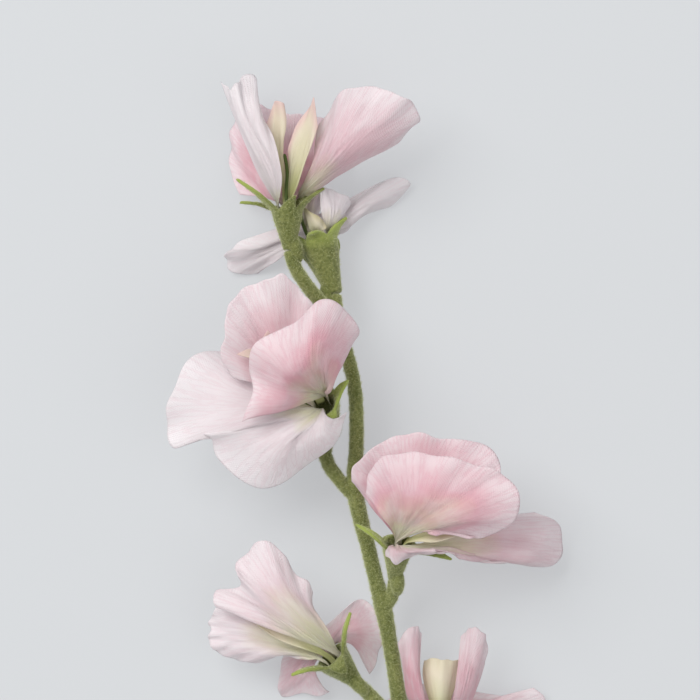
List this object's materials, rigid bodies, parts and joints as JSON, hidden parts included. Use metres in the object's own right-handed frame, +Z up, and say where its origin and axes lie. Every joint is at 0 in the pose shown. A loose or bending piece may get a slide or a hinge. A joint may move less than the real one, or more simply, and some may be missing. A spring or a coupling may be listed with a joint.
{
  "type": "sweet pea flower spray",
  "caption": "Cut sweet pea spray lying on a table: pale pink blossoms with cream keels and green calyxes on one fuzzy green stem.",
  "frame": {"origin": "on the table, below the middle of the spray's bounding box", "axes": "+Z up from the table; +Y along the spray from the cut stem end towards the flowering tip; +X to the right as seen from above with the tip at the top"},
  "size_m": [0.0932, 0.2102, 0.0396],
  "materials": {
    "petal": "matte, thin, pale pink to white",
    "keel": "matte, cream with a pink tip",
    "calyx": "matte, short green fuzz",
    "stem": "matte, short olive-green fuzz",
    "pistil": "matte dark green"
  },
  "bodies": {
    "root": {"stem": "stem", "blossom_1_calyx": "calyx", "blossom_1_standard": "petal", "blossom_1_left_wing": "petal", "blossom_1_right_wing": "petal", "blossom_1_keel": "keel", "blossom_1_pistil": "pistil", "blossom_2_calyx": "calyx", "blossom_2_standard": "petal", "blossom_2_left_wing": "petal", "blossom_2_right_wing": "petal", "blossom_2_keel": "keel", "blossom_2_pistil": "pistil", "blossom_3_calyx": "calyx", "blossom_3_standard": "petal", "blossom_3_left_wing": "petal", "blossom_3_right_wing": "petal", "blossom_3_keel": "keel", "blossom_4_calyx": "calyx", "blossom_4_standard": "petal", "blossom_4_left_wing": "petal", "blossom_4_right_wing": "petal", "blossom_4_keel": "keel", "blossom_5_calyx": "calyx", "blossom_5_standard": "petal", "blossom_5_left_wing": "petal", "blossom_5_right_wing": "petal", "blossom_5_keel": "keel", "blossom_6_calyx": "calyx", "blossom_6_standard": "petal", "blossom_6_left_wing": "petal", "blossom_6_right_wing": "petal", "blossom_6_keel": "keel"}
  },
  "joints": []
}
